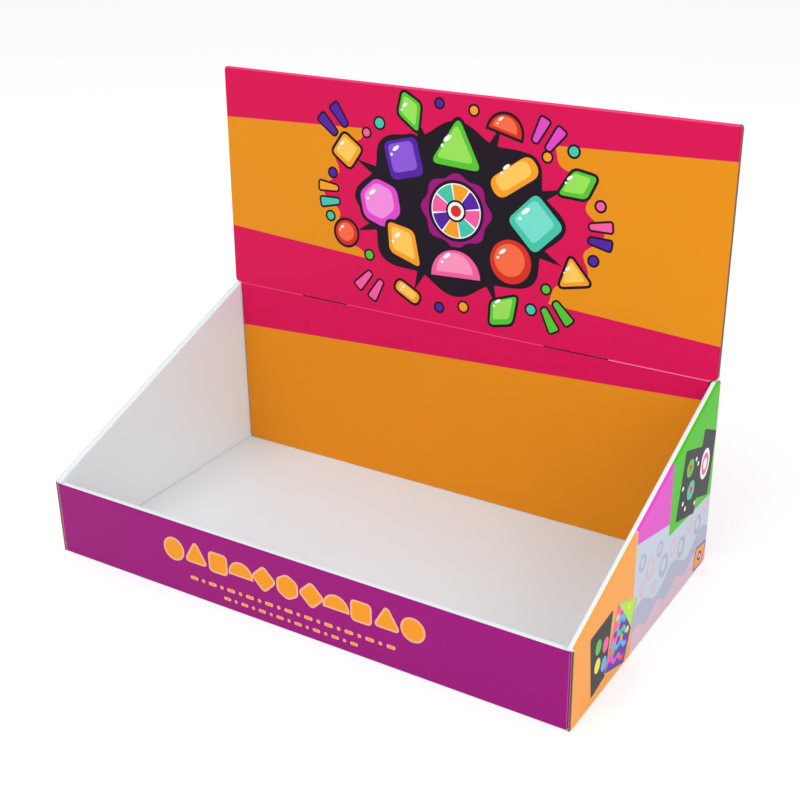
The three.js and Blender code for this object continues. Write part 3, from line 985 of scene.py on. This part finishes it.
def wall_edges():
    """The raw edges on the tray: the back's top, the liner's ends and both ends of each side wall, with
    painted shade in their hollows, on the floor's corners and in the slits."""
    piece = Piece("wall_cut_edges", "tray_body", "cut_edge")
    near = PANEL_HALF - CORNER_PLAY
    far_foot, far_top = (WIDTH / 2 - play for play in PATCH_ENDS)
    corner = np.array([[near, PATCH_FOOT], [far_foot, PATCH_FOOT], [far_top, BOARD], [near, BOARD]])
    # Painted shade: a dark patch over each of the floor's corners at the front and the back
    for panel in (FRONT, BACK):
        for side in (-1, 1):
            piece.plate(panel, corner * np.array([side, 1]), "painted_edge_shade", 0)
    cut_edge(piece, Panel((-BACK_TOP_HALF, TRAY_HIGH[1], SIDE_TOP), (0, -1, 0), (1, 0, 0)), 2 * BACK_TOP_HALF)
    # Painted shade: a dark plate on the ledge of each slit
    for start, end in SLITS:
        ledge = Panel((start, LINER_FACE, LINER_TOP - SLIT_HEIGHT), (1, 0, 0), (0, 1, 0))
        piece.plate(ledge, span(0, 0, end - start, BOARD), "painted_gap_shade", 0)
    liner_foot = BOARD + 2 * FOLD
    for side in (-1, 1):
        origin = (side * LINER_HALF, LINER_FACE + (BOARD if side < 0 else 0), liner_foot)
        cut_edge(piece, Panel(origin, (0, side, 0), (0, 0, 1)), LINER_TOP - liner_foot, fluted=False)
    ends = ((TRAY_LOW[1] + LAYER_PLAY, 1, SIDE_FRONT_TOP), (TRAY_HIGH[1] - LAYER_PLAY, -1, SIDE_TOP))
    for side in (-1, 1):
        outer = side * WIDTH / 2
        left, right = sorted((outer, outer - side * BOARD))
        for y, across, top in ends:
            origin = (left if across > 0 else right, y, EDGE_FOOT)
            cut_edge(piece, Panel(origin, (across, 0, 0), (0, 0, 1)), top - FOLD - EDGE_FOOT)
    piece.build()


def build_box():
    """White board on the CAD nodes, then every printed face and cut edge."""
    for name in ("tray", "header_liner", "header_panel"):
        frame["nodes"][name].data.materials[0] = MATERIALS["white_board"]
    tray_print()
    right = side_print(1, "right_side_print")
    pale_field(right)
    front_tiles(right)
    back_tiles(right)
    right.build()
    side_print(-1, "left_side_print").build()
    header_print()
    liner_print()
    crease()
    header_edges()
    wall_edges()


# Floor, light and camera: places in metres, lamp sizes in metres and powers in watts

FLOOR_REACH = 6.0
FLOOR_SEEN = 0.66
FLOOR_GLOW = 0.46
FLOOR_PALE = 0.82
ROOM_LIGHT = 0.7
LAMP_AIM = (0, 0, 0.12)
LAMPS = (("key", (-0.5, -1.4, 2.0), 1.6, 17), ("fill", (1.7, -0.7, 1.1), 1.4, 13.6))
CAMERA_PLACE = (0.45214, -0.69020, 0.50257)
CAMERA_AZIMUTH = math.radians(32.139)
CAMERA_ELEVATION = math.radians(24.806)
CAMERA_ROLL = math.radians(-0.893)
CAMERA_LENS = 60.657


def pale_floor():
    """A floor that the camera sees nearly white with its shadow, and that lights the box as pale card."""
    material = bpy.data.materials.new("pale_floor")
    nodes = Nodes(material, "ShaderNodeOutputMaterial")
    path = nodes.add("ShaderNodeLightPath").outputs
    seen = nodes.math("MAXIMUM", path["Is Camera Ray"], path["Is Glossy Ray"])
    pale = nodes.add("ShaderNodeBsdfDiffuse", Color=(FLOOR_PALE, FLOOR_PALE, FLOOR_PALE, 1)).outputs[0]
    shown = nodes.add("ShaderNodeBsdfDiffuse", Color=(FLOOR_SEEN, FLOOR_SEEN, FLOOR_SEEN, 1)).outputs[0]
    glow = nodes.add("ShaderNodeEmission", Color=(1, 1, 1, 1), Strength=FLOOR_GLOW).outputs[0]
    bright = nodes.join("ShaderNodeAddShader", shown, glow)
    nodes.finish(nodes.join("ShaderNodeMixShader", pale, bright, seen))

    mesh = bpy.data.meshes.new("floor")
    corners = np.insert(span(-FLOOR_REACH, -FLOOR_REACH, FLOOR_REACH, FLOOR_REACH), 2, 0.0, axis=1)
    mesh.from_pydata(corners.tolist(), [], [(0, 1, 2, 3)])
    mesh.materials.append(material)
    floor = bpy.data.objects.new("floor", mesh)
    bpy.context.scene.collection.objects.link(floor)


def room_light():
    """Even light from all round, and plain white where the camera looks past the floor."""
    world = bpy.data.worlds.new("studio")
    bpy.context.scene.world = world
    nodes = Nodes(world, "ShaderNodeOutputWorld")
    seen = nodes.add("ShaderNodeLightPath").outputs["Is Camera Ray"]
    room = nodes.add("ShaderNodeBackground", Color=(1, 1, 1, 1), Strength=ROOM_LIGHT).outputs[0]
    white = nodes.add("ShaderNodeBackground", Color=(1, 1, 1, 1), Strength=1.0).outputs[0]
    nodes.finish(nodes.join("ShaderNodeMixShader", room, white, seen))


def looking(place, azimuth, elevation, roll=0.0):
    """The placement of something at a place that looks back along azimuth and elevation, then rolls."""
    return (Matrix.Translation(place) @ Matrix.Rotation(azimuth, 4, "Z")
            @ Matrix.Rotation(math.pi / 2 - elevation, 4, "X") @ Matrix.Rotation(roll, 4, "Z"))


def lamp(name, place, size, power):
    """A square soft lamp at a place, turned to face the box."""
    data = bpy.data.lights.new(name, "AREA")
    data.shape = "SQUARE"
    data.size = size
    data.energy = power
    light = bpy.data.objects.new(name, data)
    bpy.context.scene.collection.objects.link(light)
    x, y, z = np.array(place) - np.array(LAMP_AIM)
    light.matrix_world = looking(place, math.atan2(x, -y), math.atan2(z, math.hypot(x, y)))


def camera():
    """The camera where the photo was taken from."""
    data = bpy.data.cameras.new("camera")
    data.sensor_width = 36
    data.lens = CAMERA_LENS
    eye = bpy.data.objects.new("camera", data)
    bpy.context.scene.collection.objects.link(eye)
    eye.matrix_world = looking(CAMERA_PLACE, CAMERA_AZIMUTH, CAMERA_ELEVATION, CAMERA_ROLL)
    bpy.context.scene.camera = eye


bpy.context.scene.view_settings.view_transform = "Standard"
camera()
build_box()
pale_floor()
room_light()
for name, place, size, power in LAMPS:
    lamp(name, place, size, power)
